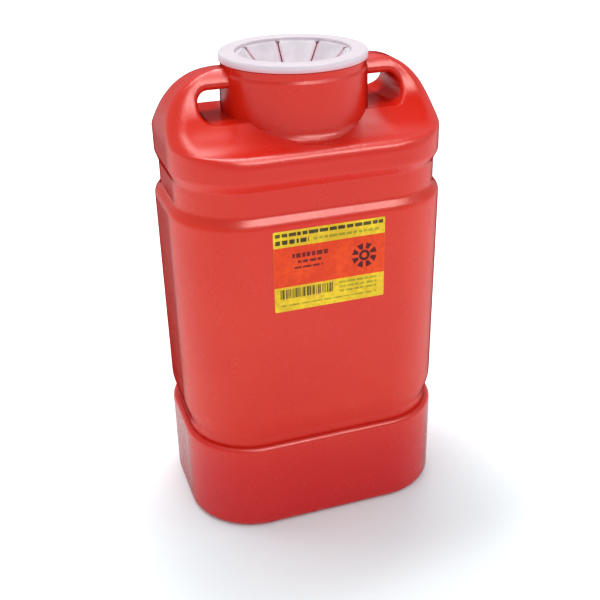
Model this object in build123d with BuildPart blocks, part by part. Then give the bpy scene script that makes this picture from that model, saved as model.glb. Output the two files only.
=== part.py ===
"""Sharps container of about 18 litres: a hollow blow-moulded bottle with two through-handles and a
snap-on white funnel whose eight flexible petals swing down on living hinges.

Frame: +Z up, origin at the centre of the standing face, front label on the -Y side. Millimetres.
"""

import math
import os

from build123d import *

# Moulded wall
WALL = 2.2

# Half width (X) and half depth (Y) of each band. All bands share the centre lines of their corners.
BASE = (132.4, 96.0)
LEDGE = (127.4, 89.6)
BODY_LOW = (131.4, 93.6)
BODY_HIGH = (132.2, 94.4)
GROOVE = (126.0, 88.4)
SHOULDER = (129.0, 94.0)
CORNER_CENTRE = 64.2

# Heights of the bands, from the standing face
BASE_TOP = 94.6
BODY_START = 104.0
BODY_FULL = 121.0
BODY_TOP = 326.0
GROOVE_BOTTOM = 334.0
GROOVE_TOP = 357.0
SHOULDER_FULL = 366.0
CROWN_START = 372.0

# Roundings of the bands' edges
BASE_ROUND = 7.0
BASE_TOP_ROUND = 5.0
BODY_START_ROUND = 12.0
BODY_FULL_ROUND = 30.0
BODY_TOP_ROUND = 8.0
GROOVE_ROUND = 4.0
SHOULDER_ROUND = 7.0

# Underside recess, so that the bottle stands on its rim
RECESS = (104.0, 66.0)
RECESS_CORNER = 40.0
RECESS_DEPTH = 3.5

# Handles: seen from the front, their outer arch is a quarter of a superellipse, flat at the neck
ARCH_CENTRE = 386.0
ARCH_TOP = 447.2
ARCH_FLAT = 72.0
ARCH_POWER = 2.2

# Handles seen from the side: a ridge round the shelf, a flare and a narrow, tapered, crowned bar
RIDGE_START = 379.0
RIDGE_ROUND = 10.5
RIDGE_END = 388.5
FLARE = 52.0
FLARE_START = 388.0
FLARE_RATE = 12.0
BAR = 12.5
BAR_TAPER = 0.4
CREST = 11.0
CREST_START = 438.0
CROWN_CORNER = 0.46
CROWN_LEVELS = (CROWN_START, 379, 384, 387.5, 390, 393, 397, 402, 408, 415, 422, 429, 436, 442, 445.3, 447)

# Finger holes, between the neck and the arch
HOLE_OUT = 96.5
HOLE_BOTTOM = 405.5
HOLE_TOP = 430.5
HOLE_CORNER = 11.0
HOLE_ROUND = 4.5

# Neck, with a stepped lip for the funnel
NECK_LOW = 69.0
NECK_HIGH = 66.9
NECK_FLARE = 9.0
BEAD = 68.2
BEAD_TOP = 443.0
BEAD_FULL = 440.5
SHELF = 391.0
LIP = 66.2
LIP_START = 449.2
LIP_TOP = 454.8

# Funnel ring: a flange that grips the lip between a skirt and a plug wall
CAP_TOP = 457.0
CAP_OUT = 68.5
CAP_ROUND = 2.0
CAP_GAP = 0.15
SKIRT_BOTTOM = 450.4
PLUG_BOTTOM = 438.0
PLUG_WALL = 1.8
MOUTH_TOP = 53.3
MOUTH_FOOT = 53.0
MOUTH_ROUND = 1.4
WEB_TOP = 453.8
WEB = 1.6

# Petals: flat, hung on the sides of an octagon, sloping down to an open centre
PETALS = 8
FUNNEL_TURN = -1.5
HINGE_RADIUS = 47.3
HINGE_GAP = 0.15
PETAL_SLOPE = 50.0
PETAL_THICK = 1.4
TIP_RADIUS = 12.0
TIP_ROUND = 2.0
SLIT = 1.6
RELIEF_RADIUS = 51.2
RELIEF_HOLE = 1.7
HINGE_ROUND = 0.68

# Front label, on the flat of the body's drafted front face
LABEL = (107.0, 79.4)
LABEL_CENTRE = 280.8
LABEL_CORNER = 1.5
LABEL_THICK = 0.2
LABEL_GAP = 0.02


def band(half, z, inset):
    """Rounded outline of a band at height z, drawn in by inset on every side."""
    with BuildSketch(Plane.XY.offset(z)) as outline:
        RectangleRounded(2 * (half[0] - inset), 2 * (half[1] - inset), half[0] - CORNER_CENTRE - inset)
    return outline.sketch


def edges_at(part, z):
    """Edges of part that lie in the horizontal plane at height z."""
    return part.edges().filter_by_position(Axis.Z, z - 0.01, z + 0.01)


def stack_of_bands(inset):
    """Base, body and the foot of the shoulder, with the grooves between them."""
    base_top = BASE_TOP - inset
    body_start = BODY_START + inset
    body_full = BODY_FULL + inset
    body_top = BODY_TOP - inset
    groove_bottom = GROOVE_BOTTOM - inset
    groove_top = GROOVE_TOP + inset
    shoulder_full = SHOULDER_FULL + inset
    with BuildPart() as stack:
        extrude(band(BASE, inset, inset), amount=base_top - inset)
        fillet(edges_at(stack, inset), BASE_ROUND - inset)
        fillet(edges_at(stack, base_top), BASE_TOP_ROUND)
        extrude(band(LEDGE, base_top, inset), amount=body_start - base_top)
        loft([band(LEDGE, body_start, inset), band(BODY_LOW, body_full, inset)], ruled=True)
        loft([band(BODY_LOW, body_full, inset), band(BODY_HIGH, body_top, inset)], ruled=True)
        loft([band(BODY_HIGH, body_top, inset), band(GROOVE, groove_bottom, inset)], ruled=True)
        extrude(band(GROOVE, groove_bottom, inset), amount=groove_top - groove_bottom)
        loft([band(GROOVE, groove_top, inset), band(SHOULDER, shoulder_full, inset)], ruled=True)
        extrude(band(SHOULDER, shoulder_full, inset), amount=CROWN_START - shoulder_full)
        fillet(edges_at(stack, body_start), BODY_START_ROUND)
        fillet(edges_at(stack, body_full), BODY_FULL_ROUND)
        fillet(edges_at(stack, body_top), BODY_TOP_ROUND)
        fillet(edges_at(stack, groove_bottom) + edges_at(stack, groove_top), GROOVE_ROUND)
        fillet(edges_at(stack, shoulder_full), SHOULDER_ROUND)
    return stack.part


def crown_half(z):
    """Half width and half depth of the crown, that is the shelf and the handles, at height z."""
    rise = max(0, (z - ARCH_CENTRE) / (ARCH_TOP - ARCH_CENTRE))
    width = ARCH_FLAT + (SHOULDER[0] - ARCH_FLAT) * math.sqrt(1 - rise**ARCH_POWER)
    if z < RIDGE_END:
        turn = max(0, (z - RIDGE_START) / RIDGE_ROUND)
        return width, SHOULDER[1] - RIDGE_ROUND * (1 - math.sqrt(1 - turn**2))
    bar = BAR + BAR_TAPER * (ARCH_TOP - z)
    flare = FLARE * math.exp((FLARE_START - z) / FLARE_RATE)
    crest = max(0, (z - CREST_START) / CREST)
    return width, (bar + flare) * math.sqrt(1 - crest**2)


def crown(inset):
    """Shelf and handles, lofted through horizontal rounded rectangles."""
    ridge_corner = SHOULDER[0] - CORNER_CENTRE - CROWN_CORNER * SHOULDER[1]
    levels = []
    for z in CROWN_LEVELS:
        width, depth = crown_half(z)
        drop = inset if z > CROWN_START else 0
        corner = CROWN_CORNER * depth + ridge_corner * (depth / SHOULDER[1]) ** 4 - inset
        with BuildSketch(Plane.XY.offset(z - drop)) as level:
            RectangleRounded(2 * (width - inset), 2 * (depth - inset), corner)
        levels.append(level.sketch)
    with BuildPart() as dome:
        loft(levels)
    return dome.part


def neck(inset, top):
    """Neck, flared out onto the shelf, up to the height top."""
    shelf = SHELF - inset
    foot = NECK_LOW + NECK_FLARE
    with BuildPart() as tube:
        with BuildSketch(Plane.XZ):
            with BuildLine():
                base = Polyline((0, CROWN_START), (foot, CROWN_START), (foot, shelf))
                flare = CenterArc((foot, shelf + NECK_FLARE + inset), NECK_FLARE + inset, 180, 90)
                bead = [(BEAD - inset, BEAD_FULL), (NECK_HIGH - inset, BEAD_TOP)]
                step = [(NECK_HIGH - inset, LIP_START), (LIP - inset, LIP_START)]
                Polyline(flare @ 0, *bead, *step, (LIP - inset, top), (0, top), base @ 0)
            make_face()
        revolve(axis=Axis.Z)
    return tube.part


def vessel(inset, top):
    """The bottle's outside as one solid or, with an inset, the space that its wall leaves inside."""
    width = 2 * (HOLE_OUT + inset)
    height = HOLE_TOP - HOLE_BOTTOM + 2 * inset
    with BuildPart() as shape:
        add(crown(inset))
        before = shape.edges()
        with BuildSketch(Plane.XZ):
            with Locations((0, (HOLE_TOP + HOLE_BOTTOM) / 2)):
                RectangleRounded(width, height, HOLE_CORNER + inset)
        extrude(amount=SHOULDER[1], both=True, mode=Mode.SUBTRACT)
        if not inset:
            fillet(shape.edges() - before, HOLE_ROUND)
        add(stack_of_bands(inset))
        add(neck(inset, top))
    return shape.part


os.makedirs("parts", exist_ok=True)

# Bottle: the outside less the space inside, with the middle of the floor raised over the recess
with BuildPart() as container_body:
    add(vessel(0, LIP_TOP))
    add(vessel(WALL, LIP_TOP + WALL), mode=Mode.SUBTRACT)
    with BuildSketch():
        RectangleRounded(2 * (RECESS[0] + WALL), 2 * (RECESS[1] + WALL), RECESS_CORNER + WALL)
    extrude(amount=RECESS_DEPTH + WALL)
    with BuildSketch():
        RectangleRounded(2 * RECESS[0], 2 * RECESS[1], RECESS_CORNER)
    extrude(amount=RECESS_DEPTH, mode=Mode.SUBTRACT)

container_body.part.label = "container_body"
export_step(container_body.part, "parts/container_body.step")

# Funnel ring: flange, skirt, plug wall, and a web with the octagon that the petals hang in
grip_out = LIP + CAP_GAP
grip_in = LIP - WALL - CAP_GAP
grip_roof = LIP_TOP + CAP_GAP
web_bottom = WEB_TOP - WEB

with BuildPart() as funnel_ring:
    with BuildSketch(Plane.XZ):
        with BuildLine():
            flange = [(MOUTH_TOP, CAP_TOP), (CAP_OUT, CAP_TOP), (CAP_OUT, SKIRT_BOTTOM)]
            grip = [(grip_out, SKIRT_BOTTOM), (grip_out, grip_roof), (grip_in, grip_roof), (grip_in, PLUG_BOTTOM)]
            plug = [(grip_in - PLUG_WALL, PLUG_BOTTOM), (grip_in - PLUG_WALL, web_bottom)]
            web = [(TIP_RADIUS, web_bottom), (TIP_RADIUS, WEB_TOP), (MOUTH_FOOT, WEB_TOP)]
            Polyline(*flange, *grip, *plug, *web, close=True)
        make_face()
    revolve(axis=Axis.Z)
    fillet(edges_at(funnel_ring, CAP_TOP).sort_by(SortBy.LENGTH)[-1], CAP_ROUND)
    fillet(edges_at(funnel_ring, CAP_TOP).sort_by(SortBy.LENGTH)[0], MOUTH_ROUND)
    with BuildSketch(Plane.XY.offset(web_bottom)):
        octagon_radius = HINGE_RADIUS + PETAL_THICK / 2 + HINGE_GAP
        RegularPolygon(octagon_radius, PETALS, major_radius=False, rotation=FUNNEL_TURN)
        with PolarLocations(RELIEF_RADIUS, PETALS, start_angle=FUNNEL_TURN):
            Circle(RELIEF_HOLE)
    extrude(amount=WEB, mode=Mode.SUBTRACT)

funnel_ring.part.label = "funnel_ring"
export_step(funnel_ring.part, "parts/funnel_ring.step")

# Petals: each hangs on the middle of one side of the octagon, its hinge edge rounded about the axis
slope = math.radians(PETAL_SLOPE)
petal_length = (HINGE_RADIUS - TIP_RADIUS) / math.cos(slope)
spread = math.tan(math.pi / PETALS)
hinge_half = HINGE_RADIUS * spread
tip_half = TIP_RADIUS * spread - SLIT / 2
side_half = hinge_half - SLIT / 2
edge = PETAL_THICK / 2

for number in range(1, PETALS + 1):
    turn = 2 * math.pi * (number - 0.5) / PETALS + math.radians(FUNNEL_TURN)
    outward = Vector(math.cos(turn), math.sin(turn), 0)
    along = Vector(0, 0, 1).cross(outward)
    hinge = outward * HINGE_RADIUS + Vector(0, 0, WEB_TOP - WEB / 2)
    upward = outward * -math.sin(slope) + Vector(0, 0, math.cos(slope))
    with BuildPart() as petal:
        with BuildSketch(Plane(hinge, x_dir=along, z_dir=upward)) as outline:
            with BuildLine():
                root = [(-side_half, 0), (-side_half, -edge), (side_half, -edge), (side_half, 0)]
                Polyline(*root, (tip_half, petal_length), (-tip_half, petal_length), close=True)
            make_face()
            fillet(outline.vertices().group_by(Axis.Y)[-1], TIP_ROUND)
            with Locations((hinge_half, 0), (-hinge_half, 0)):
                Circle(RELIEF_HOLE + SLIT / 2, mode=Mode.SUBTRACT)
        extrude(amount=edge, both=True)
        lengthways = petal.edges().filter_by(Axis(hinge, along))
        fillet(lengthways.sort_by_distance(hinge)[:2], HINGE_ROUND)
    petal.part.label = f"petal_{number}"
    export_step(petal.part, f"parts/petal_{number}.step")

# Label: a thin plate that follows the draft of the front face
draft = (BODY_HIGH[1] - BODY_LOW[1]) / (BODY_TOP - BODY_FULL)
face_depth = BODY_LOW[1] + draft * (LABEL_CENTRE - BODY_FULL)
face_normal = Vector(0, -1, -draft).normalized()
label_centre = Vector(0, -face_depth, LABEL_CENTRE) + face_normal * LABEL_GAP

with BuildPart() as front_label:
    with BuildSketch(Plane(label_centre, x_dir=(1, 0, 0), z_dir=face_normal)):
        RectangleRounded(*LABEL, LABEL_CORNER)
    extrude(amount=LABEL_THICK)

front_label.part.label = "front_label"
export_step(front_label.part, "parts/front_label.step")
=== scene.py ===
"""Studio scene of the sharps container: moulded plastics, printed label, floor, lights and camera."""

import math
import random

import bmesh
import bpy
from mathutils import Matrix, Vector


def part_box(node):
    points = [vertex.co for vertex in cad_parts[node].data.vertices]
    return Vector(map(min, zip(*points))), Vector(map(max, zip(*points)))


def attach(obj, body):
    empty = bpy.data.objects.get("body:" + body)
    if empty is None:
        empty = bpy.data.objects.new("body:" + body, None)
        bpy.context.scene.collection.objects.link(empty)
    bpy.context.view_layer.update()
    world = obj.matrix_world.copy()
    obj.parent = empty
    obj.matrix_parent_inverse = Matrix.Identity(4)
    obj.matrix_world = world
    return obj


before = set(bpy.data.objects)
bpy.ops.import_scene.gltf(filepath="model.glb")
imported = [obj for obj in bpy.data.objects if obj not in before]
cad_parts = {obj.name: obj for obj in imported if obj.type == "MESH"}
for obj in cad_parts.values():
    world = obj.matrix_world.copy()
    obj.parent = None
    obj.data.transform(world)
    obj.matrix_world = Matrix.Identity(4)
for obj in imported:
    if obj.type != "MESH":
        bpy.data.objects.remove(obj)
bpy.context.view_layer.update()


class Shader:
    """One procedural material: adds nodes and joins them in short calls."""

    def __init__(self, name, **surface):
        self.material = bpy.data.materials.new(name)
        self.material.use_nodes = True
        self.tree = self.material.node_tree
        self.surface = self.tree.nodes["Principled BSDF"]
        self.place = self.add("ShaderNodeTexCoord").outputs["Object"]
        for label, value in surface.items():
            self.set(label.replace("_", " "), value)

    def add(self, kind, **settings):
        node = self.tree.nodes.new(kind)
        for key, value in settings.items():
            setattr(node, key, value)
        return node

    def put(self, socket, value):
        if isinstance(value, bpy.types.NodeSocket):
            self.tree.links.new(value, socket)
        else:
            socket.default_value = value

    def set(self, label, value):
        self.put(self.surface.inputs[label], value)

    def xyz(self):
        split = self.add("ShaderNodeSeparateXYZ")
        self.put(split.inputs[0], self.place)
        return split.outputs

    def maths(self, operation, first, second=0.0):
        node = self.add("ShaderNodeMath", operation=operation)
        self.put(node.inputs[0], first)
        self.put(node.inputs[1], second)
        return node.outputs[0]

    def span(self, value, low, high, start=0.0, end=1.0):
        """Value eased from start at low to end at high."""
        node = self.add("ShaderNodeMapRange", interpolation_type="SMOOTHSTEP")
        for socket, number in zip(node.inputs, (value, low, high, start, end)):
            self.put(socket, number)
        return node.outputs[0]

    def peak(self, value, centre, reach):
        """One at centre, falling to zero at reach on either side."""
        away = self.maths("ABSOLUTE", self.maths("SUBTRACT", value, centre))
        return self.span(away, 0.0, reach, 1.0, 0.0)

    def noise(self, scale, detail=2.0, stretch=(1, 1, 1)):
        """Noise from 0 to 1, in features of about 1/scale metres."""
        mapping = self.add("ShaderNodeMapping")
        self.put(mapping.inputs["Vector"], self.place)
        mapping.inputs["Scale"].default_value = stretch
        node = self.add("ShaderNodeTexNoise")
        self.put(node.inputs["Vector"], mapping.outputs[0])
        node.inputs["Scale"].default_value = scale
        node.inputs["Detail"].default_value = detail
        return node.outputs["Fac"]

    def mix(self, share, first, second):
        node = self.add("ShaderNodeMix", data_type="RGBA")
        for index, value in ((0, share), (6, first), (7, second)):
            self.put(node.inputs[index], value)
        return node.outputs[2]

    def facing(self, blend):
        node = self.add("ShaderNodeLayerWeight")
        node.inputs["Blend"].default_value = blend
        return node.outputs["Facing"]

    def bump(self, *layers):
        """Stacks (height 0 to 1, depth in metres) layers on the normal."""
        normal = None
        for height, depth in layers:
            node = self.add("ShaderNodeBump")
            node.inputs["Distance"].default_value = depth
            self.put(node.inputs["Height"], height)
            if normal:
                self.put(node.inputs["Normal"], normal)
            normal = node.outputs[0]
        self.set("Normal", normal)


def red_plastic():
    """Blow-moulded red plastic: grain, scratches, a parting line, a scuffed foot, and painted shade darkening
    it at grazing angles.
    """
    s = Shader("red_polypropylene")
    x, y, z = s.xyz()
    cloud = s.noise(8.0, 2.0)
    colour = s.mix(s.span(cloud, 0.3, 0.7), (0.61, 0.015, 0.003, 1), (0.64, 0.023, 0.004, 1))
    deeper = s.maths("ADD", s.span(z, 0.13, 0.05, 0.0, 0.8), s.span(z, 0.31, 0.39, 0.0, 0.3))
    colour = s.mix(deeper, colour, (0.56, 0.006, 0.010, 1))
    # Painted shade: the colour darkens towards grazing angles, for dark rims along the outline
    edge = s.facing(0.5)
    colour = s.mix(s.span(edge, 0.60, 0.98, 0.0, 0.80), colour, (0.17, 0.003, 0.004, 1))
    scuff = s.maths("MULTIPLY", s.peak(z, 0.002, 0.006), s.span(s.noise(90.0, 4.0), 0.45, 0.70))
    colour = s.mix(s.maths("MULTIPLY", scuff, 0.18), colour, (0.80, 0.22, 0.19, 1))
    s.set("Base Color", colour)
    out = s.maths("ABSOLUTE", x)
    pocket = s.maths("MULTIPLY", s.span(out, 0.055, 0.080), s.span(out, 0.120, 0.106))
    pocket = s.maths("MULTIPLY", pocket, s.peak(z, 0.403, 0.018))
    sheen = s.span(edge, 0.34, 0.865, 0.34, s.span(z, 0.105, 0.090, 0.0, 0.11))
    s.set("Specular IOR Level", s.maths("MULTIPLY", sheen, s.span(pocket, 0.0, 0.7, 1.0, 0.12)))
    rough = s.span(s.noise(40.0, 3.0), 0.3, 0.7, 0.24, 0.28)
    s.set("Roughness", s.maths("ADD", rough, s.maths("MULTIPLY", scuff, 0.15)))
    grain = s.noise(1300.0, 2.0)
    sag = s.noise(7.0, 1.0)
    scratch = s.span(s.noise(700.0, 1.0, (1, 1, 0.03)), 0.62, 0.75)
    parting = s.peak(y, 0.0, 0.0006)
    s.bump((sag, 0.0004), (scratch, 0.00002), (parting, 0.00025), (grain, 0.00005))
    return s.material


# Slits between petals, ribs on the flange, and the angle by which the funnel stands turned
PETALS = 8
RIBS = 72
FUNNEL_TURN = math.radians(1.5)


def funnel_plastic(name, moulded):
    """Milky plastic with painted pink glow, as of the red bottle shining through, along the slits and the
    skirt's lower rim, with ribs where moulded is 1.
    """
    s = Shader(name, Specular_IOR_Level=0.22, Subsurface_Weight=0.12, Subsurface_Scale=0.004)
    s.surface.inputs["Subsurface Radius"].default_value = (1.0, 0.6, 0.7)
    x, y, z = s.xyz()
    radius = s.maths("SQRT", s.maths("ADD", s.maths("MULTIPLY", x, x), s.maths("MULTIPLY", y, y)))
    colour = s.mix(s.span(s.noise(70.0, 3.0), 0.3, 0.7), (0.59, 0.52, 0.56, 1), (0.68, 0.61, 0.65, 1))
    flange = s.span(radius, 0.0525, 0.0540)
    colour = s.mix(s.maths("MULTIPLY", flange, 0.8), colour, (0.66, 0.56, 0.60, 1))
    # Painted pink glow, as of light through the red bottle, along the slits inside the flange
    turn = s.maths("ADD", s.maths("ARCTAN2", y, x), FUNNEL_TURN)
    gap = s.maths("MULTIPLY", s.maths("PINGPONG", turn, math.pi / PETALS), radius)
    painted_glow = s.maths("MULTIPLY", s.span(gap, 0.0034, 0.0006), s.span(radius, 0.0535, 0.0515))
    colour = s.mix(s.maths("MULTIPLY", painted_glow, 0.6), colour, (0.62, 0.20, 0.24, 1))
    # Painted pink glow along the skirt's lower rim, where it sits on the red neck
    painted_skirt_glow = s.maths("MULTIPLY", s.span(z, 0.4545, 0.4508), s.span(radius, 0.064, 0.066))
    colour = s.mix(s.maths("MULTIPLY", painted_skirt_glow, 0.8), colour, (0.72, 0.33, 0.37, 1))
    s.set("Base Color", colour)
    s.set("Roughness", s.span(s.noise(45.0, 3.0), 0.3, 0.7, 0.34, 0.48))
    ribs = s.peak(s.maths("PINGPONG", turn, math.pi / RIBS), 0.0, 0.006)
    ribs = s.maths("MULTIPLY", ribs, s.peak(radius, 0.0605, 0.0026))
    s.bump((ribs, 0.0002 * moulded), (s.noise(900.0, 2.0), 0.00008), (s.noise(90.0, 2.0), 0.0003))
    return s.material


def ink(name, dark, light, roughness=0.32):
    """Printed film: ink that varies a little over the paper's tooth, under a thin varnish."""
    s = Shader(name, Specular_IOR_Level=0.2)
    spread = s.maths("MULTIPLY", s.noise(260.0, 3.0), s.noise(35.0, 2.0))
    s.set("Base Color", s.mix(s.span(spread, 0.12, 0.42), (*dark, 1), (*light, 1)))
    s.set("Roughness", s.span(s.noise(80.0, 3.0), 0.3, 0.7, roughness - 0.05, roughness + 0.06))
    s.bump((s.noise(22.0, 2.0), 0.0004), (s.noise(1500.0, 2.0), 0.00002))
    return s.material


# Carried-over nodes keep their shapes and get their finishes
finishes = {
    "container_body": (red_plastic(), "body_plastic"),
    "funnel_ring": (funnel_plastic("milky_polypropylene", 1), "funnel_plastic"),
    "front_label": (ink("yellow_film", (0.64, 0.38, 0.009), (0.84, 0.57, 0.020)), "label_film"),
}
petal_finish = (funnel_plastic("petal_elastomer", 0), "funnel_plastic")
for name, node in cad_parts.items():
    material, slot_name = finishes.get(name, petal_finish)
    node.data.materials.clear()
    node.data.materials.append(material)

# Print on the label. Its marks are plain bars, stripes and a wheel of wedges, with no lettering.
label_low, label_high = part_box("front_label")
label_points = [v.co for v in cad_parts["front_label"].data.vertices]
label_middle = (label_high[2] + label_low[2]) / 2


def face_at(level):
    """Y of the label's outer face, from its points within 2 mm of a height."""
    return min(p.y for p in label_points if abs(p.z - level) < 0.002)


foot_y = face_at(label_low[2])
head_y = face_at(label_high[2])


def bar(u0, v0, u1, v1, corner=0.4):
    """Rounded rectangle in label millimetres, measured from the label's centre."""
    corner = min(corner, (u1 - u0) / 2, (v1 - v0) / 2)
    points = []
    for cu, cv, first in ((u1, v1, 0), (u0, v1, 90), (u0, v0, 180), (u1, v0, 270)):
        centre_u = cu - corner if cu == u1 else cu + corner
        centre_v = cv - corner if cv == v1 else cv + corner
        for step in range(4):
            angle = math.radians(first + 30 * step)
            points.append((centre_u + corner * math.cos(angle), centre_v + corner * math.sin(angle)))
    return points


def ring(u, v, inner, outer, steps=48):
    """Quads of a flat ring."""
    quads = []
    for step in range(steps):
        a, b = math.tau * step / steps, math.tau * (step + 1) / steps
        corners = ((outer, a), (outer, b), (inner, b), (inner, a))
        quads.append([(u + r * math.cos(t), v + r * math.sin(t)) for r, t in corners])
    return quads


def dashes(u0, u1, v, height, longest, seed):
    """A row of dashes and gaps of uneven length, from u0 to u1 and centred on v."""
    pick = random.Random(seed)
    row = []
    while u0 < u1:
        length = min(pick.uniform(0.35, 1.0) * longest, u1 - u0)
        row.append(bar(u0, v - height / 2, u0 + length, v + height / 2))
        u0 += length + pick.uniform(0.25, 0.45) * min(longest, 4)
    return row


def printed(name, shapes, lift, material):
    """Flat print on the label's face, lift millimetres proud of it."""
    work = bmesh.new()
    for shape in shapes:
        corners = []
        for u, v in shape:
            z = label_middle + v / 1000
            share = (z - label_low[2]) / (label_high[2] - label_low[2])
            y = foot_y + share * (head_y - foot_y) - lift / 1000
            corners.append(work.verts.new((u / 1000, y, z)))
        work.faces.new(corners)
    bmesh.ops.remove_doubles(work, verts=work.verts, dist=1e-7)
    mesh = bpy.data.meshes.new(name)
    work.to_mesh(mesh)
    work.free()
    mesh.materials.append(material)
    piece = bpy.data.objects.new(name, mesh)
    bpy.context.scene.collection.objects.link(piece)
    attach(piece, "container")
    return piece


# Half sizes of the label, and the heights where the orange panel meets the two yellow bands
wide = (label_high[0] - label_low[0]) / 2 * 1000
tall = (label_high[2] - label_low[2]) / 2 * 1000
panel_head = tall - 15.8
panel_foot = -tall + 24.5
CUT = 0.1

panel = [bar(-wide + 0.05, panel_foot, wide - 0.05, panel_head, CUT)]
printed("label_panel", panel, 0.03, ink("orange_ink", (0.66, 0.036, 0.003), (0.78, 0.062, 0.004)))

first_row, second_row = tall - 4.0, tall - 10.8
upper = dashes(-51.5, 51.5, first_row, 3.4, 9.0, 3)
upper += dashes(-51.5, -20.0, second_row, 4.2, 6.0, 5)
printed("label_rows", upper, 0.05, ink("black_ink", (0.035, 0.024, 0.003), (0.10, 0.08, 0.010)))

faint = dashes(-16.0, 49.0, second_row, 2.6, 8.0, 8)
for row, seed in ((-19.0, 11), (-23.5, 12), (-28.0, 13)):
    faint += dashes(9.0, 46.0, row, 2.0, 9.0, seed)
faint += dashes(-48.0, 46.0, -34.0, 1.4, 14.0, 14)
printed("label_fine_rows", faint, 0.05, ink("olive_ink", (0.30, 0.24, 0.008), (0.46, 0.38, 0.02)))

# Stripes of random width, which encode nothing
stripes = []
pick = random.Random(21)
stripe_start, stripe_end = -48.0, 2.5
while stripe_start < stripe_end:
    width = pick.choice((0.5, 0.9, 1.5, 2.2))
    stripes.append(bar(stripe_start, -27.0, stripe_start + width, -17.6, CUT))
    stripe_start += width + pick.choice((0.5, 0.8, 1.3))
printed("label_stripes", stripes, 0.05, ink("stripe_ink", (0.09, 0.07, 0.006), (0.17, 0.14, 0.012)))

words = dashes(-36.0, -2.0, 14.5, 4.4, 7.0, 31)
words += dashes(-31.0, -8.0, 8.2, 2.6, 9.0, 32)
words += dashes(-34.0, -7.0, 2.6, 2.0, 9.0, 33)
printed("label_heading", words, 0.05, ink("red_ink", (0.13, 0.004, 0.003), (0.22, 0.009, 0.005)))

# A wheel: a ring with wedges round it, each wedge four points of radius and angle from its middle
emblem_u, emblem_v = 33.5, 4.5
wedges = 8
wedge = ((6.6, -0.20), (12.4, -0.25), (12.4, 0.25), (6.6, 0.20))
emblem = ring(emblem_u, emblem_v, 2.6, 5.4)
for step in range(wedges):
    turn = math.tau * (step + 0.5) / wedges
    emblem.append([(emblem_u + r * math.cos(turn + t), emblem_v + r * math.sin(turn + t)) for r, t in wedge])
printed("label_emblem", emblem, 0.05, ink("maroon_ink", (0.06, 0.001, 0.004), (0.11, 0.003, 0.008)))


# Floor, lights and camera
def floor():
    """A wide pale sweep of paper that glows as painted light, more the farther it lies from in front of the
    object.
    """
    s = Shader("pale_paper", Roughness=0.9, Specular_IOR_Level=0.1)
    x, y, z = s.xyz()
    front = s.maths("ADD", y, 0.12)
    away = s.maths("SQRT", s.maths("ADD", s.maths("MULTIPLY", x, x), s.maths("MULTIPLY", front, front)))
    s.set("Base Color", s.mix(s.noise(3.0, 3.0), (0.86, 0.93, 0.94, 1), (0.88, 0.95, 0.96, 1)))
    # Painted light: the floor glows, from nothing just in front of the object to half strength farther out,
    # leaving the shadow around it
    s.set("Emission Color", (1, 1, 1, 1))
    s.set("Emission Strength", s.span(away, 0.13, 0.36, 0.0, 0.50))
    s.bump((s.noise(500.0, 2.0), 0.00005))
    mesh = bpy.data.meshes.new("floor")
    reach = 9.0
    corners = [(-reach, -reach, 0), (reach, -reach, 0), (reach, reach, 0), (-reach, reach, 0)]
    mesh.from_pydata(corners, [], [(0, 1, 2, 3)])
    mesh.materials.append(s.material)
    sheet = bpy.data.objects.new("floor", mesh)
    bpy.context.scene.collection.objects.link(sheet)


def softbox(name, place, size, power, colour=(1, 1, 1), target=(0, 0, 0.24), glint=False):
    lamp = bpy.data.lights.new(name, "AREA")
    lamp.shape = "RECTANGLE"
    lamp.size, lamp.size_y = size
    lamp.energy = power
    lamp.color = colour
    box = bpy.data.objects.new(name, lamp)
    box.location = place
    box.visible_diffuse = not glint
    box.rotation_euler = (Vector(target) - Vector(place)).to_track_quat("-Z", "Y").to_euler()
    bpy.context.scene.collection.objects.link(box)


floor()
softbox("key", (0.1, -1.9, 1.7), (1.8, 1.2), 5.5, (1.0, 0.985, 0.96))
softbox("top", (-0.1, 0.45, 2.1), (1.5, 0.30), 20.0)
softbox("fill", (1.9, -0.9, 1.1), (1.0, 1.2), 3.0, (0.95, 0.98, 1.0))
softbox("glint_top", (0.1, 0.0, 2.2), (2.6, 1.2), 58.0, glint=True)
softbox("glint_front", (0.55, -1.2, 1.75), (1.7, 0.45), 42.0, (1.0, 0.82, 0.76), glint=True)

# Surroundings: brighter where the camera sees them than as light on the object, so that they look white
world = bpy.data.worlds.new("studio")
world.use_nodes = True
sky = world.node_tree
surroundings = sky.nodes["Background"]
surroundings.inputs["Color"].default_value = (0.90, 0.96, 1.0, 1)
seen = sky.nodes.new("ShaderNodeLightPath").outputs["Is Camera Ray"]
brightness = sky.nodes.new("ShaderNodeMath")
brightness.operation = "MULTIPLY_ADD"
sky.links.new(seen, brightness.inputs[0])
brightness.inputs[1].default_value = 0.4
brightness.inputs[2].default_value = 0.80
sky.links.new(brightness.outputs[0], surroundings.inputs["Strength"])

scene = bpy.context.scene
scene.world = world
scene.view_settings.view_transform = "Standard"

# Camera at three-quarter view, from above
stand = Vector((-0.2734, -0.8299, 0.6444))
yaw, pitch, roll = math.radians(18.339), math.radians(26.949), math.radians(-1.252)
ahead = Vector((math.sin(yaw) * math.cos(pitch), math.cos(yaw) * math.cos(pitch), -math.sin(pitch)))
level = Vector((math.cos(yaw), -math.sin(yaw), 0))
upright = level.cross(ahead)
right = level * math.cos(roll) + upright * math.sin(roll)
up = upright * math.cos(roll) - level * math.sin(roll)
camera = bpy.data.objects.new("camera", bpy.data.cameras.new("camera"))
camera.data.sensor_width = 36.0
camera.data.lens = 56.98
aim = Matrix((right, up, -ahead)).transposed().to_4x4()
camera.matrix_world = Matrix.Translation(stand) @ aim
scene.collection.objects.link(camera)
scene.camera = camera
